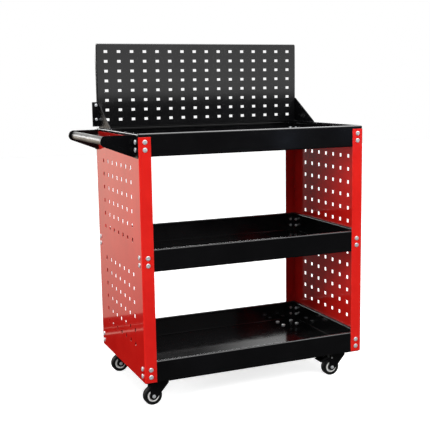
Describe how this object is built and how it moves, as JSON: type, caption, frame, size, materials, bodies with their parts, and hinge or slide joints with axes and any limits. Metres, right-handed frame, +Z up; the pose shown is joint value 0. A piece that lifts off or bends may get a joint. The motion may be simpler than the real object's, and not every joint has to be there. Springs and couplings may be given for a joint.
{
  "type": "rolling tool cart",
  "caption": "Rolling workshop cart: open trays between perforated side panels, a perforated back board, a push handle and swivel casters.",
  "frame": {"origin": "on the floor, under the centre of the whole cart's box, handle included", "axes": "+Z up, +X along the cart away from the push handle, +Y from the open front towards the perforated board"},
  "size_m": [0.7496, 0.4042, 0.9715],
  "materials": {
    "red_paint": "gloss powder coat",
    "black_paint": "gloss powder coat",
    "satin_black": "satin powder coat",
    "tube_steel": "satin, ground round",
    "zinc": "bright zinc plate",
    "rubber": "matt",
    "hub_plastic": "smooth moulded"
  },
  "bodies": {
    "frame": {"side_panel_left": "red_paint", "side_panel_right": "red_paint", "tray_bottom": "black_paint", "tray_middle": "black_paint", "tray_top": "black_paint", "pegboard": "satin_black", "pegboard_bracket_left": "black_paint", "pegboard_bracket_right": "black_paint", "handle_bracket_front": "black_paint", "handle_bracket_rear": "black_paint", "handle_tube": "tube_steel", "flange_bolt_left_bottom_upper": "zinc", "flange_bolt_left_bottom_lower": "zinc", "flange_bolt_left_middle_upper": "zinc", "flange_bolt_left_middle_lower": "zinc", "flange_bolt_left_top_upper": "zinc", "flange_bolt_left_top_lower": "zinc", "flange_bolt_right_bottom_upper": "zinc", "flange_bolt_right_bottom_lower": "zinc", "flange_bolt_right_middle_upper": "zinc", "flange_bolt_right_middle_lower": "zinc", "flange_bolt_right_top_upper": "zinc", "flange_bolt_right_top_lower": "zinc", "handle_bolt_front_upper": "zinc", "handle_bolt_front_lower": "zinc", "handle_bolt_rear_upper": "zinc", "handle_bolt_rear_lower": "zinc", "bracket_screw_left_lower": "zinc", "bracket_screw_left_upper": "zinc", "bracket_screw_right_lower": "zinc", "bracket_screw_right_upper": "zinc", "caster_plate_front_left": "zinc", "caster_plate_front_right": "zinc", "caster_plate_rear_left": "zinc", "caster_plate_rear_right": "zinc", "caster_kingpin_front_left": "zinc", "caster_kingpin_front_right": "zinc", "caster_kingpin_rear_left": "zinc", "caster_kingpin_rear_right": "zinc"},
    "caster_yoke_front_left": {"caster_fork_front_left": "black_paint", "caster_axle_front_left": "zinc"},
    "caster_wheel_front_left": {"caster_tyre_front_left": "rubber", "caster_hub_front_left": "hub_plastic"},
    "caster_yoke_front_right": {"caster_fork_front_right": "black_paint", "caster_axle_front_right": "zinc", "brake_pin_front_right": "zinc"},
    "caster_wheel_front_right": {"caster_tyre_front_right": "rubber", "caster_hub_front_right": "hub_plastic"},
    "brake_lever_front_right": {"brake_pedal_front_right": "satin_black"},
    "caster_yoke_rear_left": {"caster_fork_rear_left": "black_paint", "caster_axle_rear_left": "zinc"},
    "caster_wheel_rear_left": {"caster_tyre_rear_left": "rubber", "caster_hub_rear_left": "hub_plastic"},
    "caster_yoke_rear_right": {"caster_fork_rear_right": "black_paint", "caster_axle_rear_right": "zinc", "brake_pin_rear_right": "zinc"},
    "caster_wheel_rear_right": {"caster_tyre_rear_right": "rubber", "caster_hub_rear_right": "hub_plastic"},
    "brake_lever_rear_right": {"brake_pedal_rear_right": "satin_black"}
  },
  "joints": [
    {"name": "swivel_front_left", "type": "hinge", "parent": "frame", "child": "caster_yoke_front_left", "pos_m": [-0.2313, -0.14895, 0.067], "axis": [0, 0, 1], "continuous": true},
    {"name": "wheel_roll_front_left", "type": "hinge", "parent": "caster_yoke_front_left", "child": "caster_wheel_front_left", "pos_m": [-0.2508, -0.14895, 0.0254], "axis": [0, 1, 0], "continuous": true},
    {"name": "swivel_front_right", "type": "hinge", "parent": "frame", "child": "caster_yoke_front_right", "pos_m": [0.3197, -0.14895, 0.067], "axis": [0, 0, 1], "continuous": true},
    {"name": "wheel_roll_front_right", "type": "hinge", "parent": "caster_yoke_front_right", "child": "caster_wheel_front_right", "pos_m": [0.3002, -0.14895, 0.0254], "axis": [0, 1, 0], "continuous": true},
    {"name": "brake_press_front_right", "type": "hinge", "parent": "caster_yoke_front_right", "child": "brake_lever_front_right", "pos_m": [0.2977, -0.14895, 0.0548], "axis": [0, 1, 0], "range_deg": [-16, 0]},
    {"name": "swivel_rear_left", "type": "hinge", "parent": "frame", "child": "caster_yoke_rear_left", "pos_m": [-0.2313, 0.15305, 0.067], "axis": [0, 0, 1], "continuous": true},
    {"name": "wheel_roll_rear_left", "type": "hinge", "parent": "caster_yoke_rear_left", "child": "caster_wheel_rear_left", "pos_m": [-0.2508, 0.15305, 0.0254], "axis": [0, 1, 0], "continuous": true},
    {"name": "swivel_rear_right", "type": "hinge", "parent": "frame", "child": "caster_yoke_rear_right", "pos_m": [0.3197, 0.15305, 0.067], "axis": [0, 0, 1], "continuous": true},
    {"name": "wheel_roll_rear_right", "type": "hinge", "parent": "caster_yoke_rear_right", "child": "caster_wheel_rear_right", "pos_m": [0.3002, 0.15305, 0.0254], "axis": [0, 1, 0], "continuous": true},
    {"name": "brake_press_rear_right", "type": "hinge", "parent": "caster_yoke_rear_right", "child": "brake_lever_rear_right", "pos_m": [0.2977, 0.15305, 0.0548], "axis": [0, 1, 0], "range_deg": [-16, 0]}
  ]
}
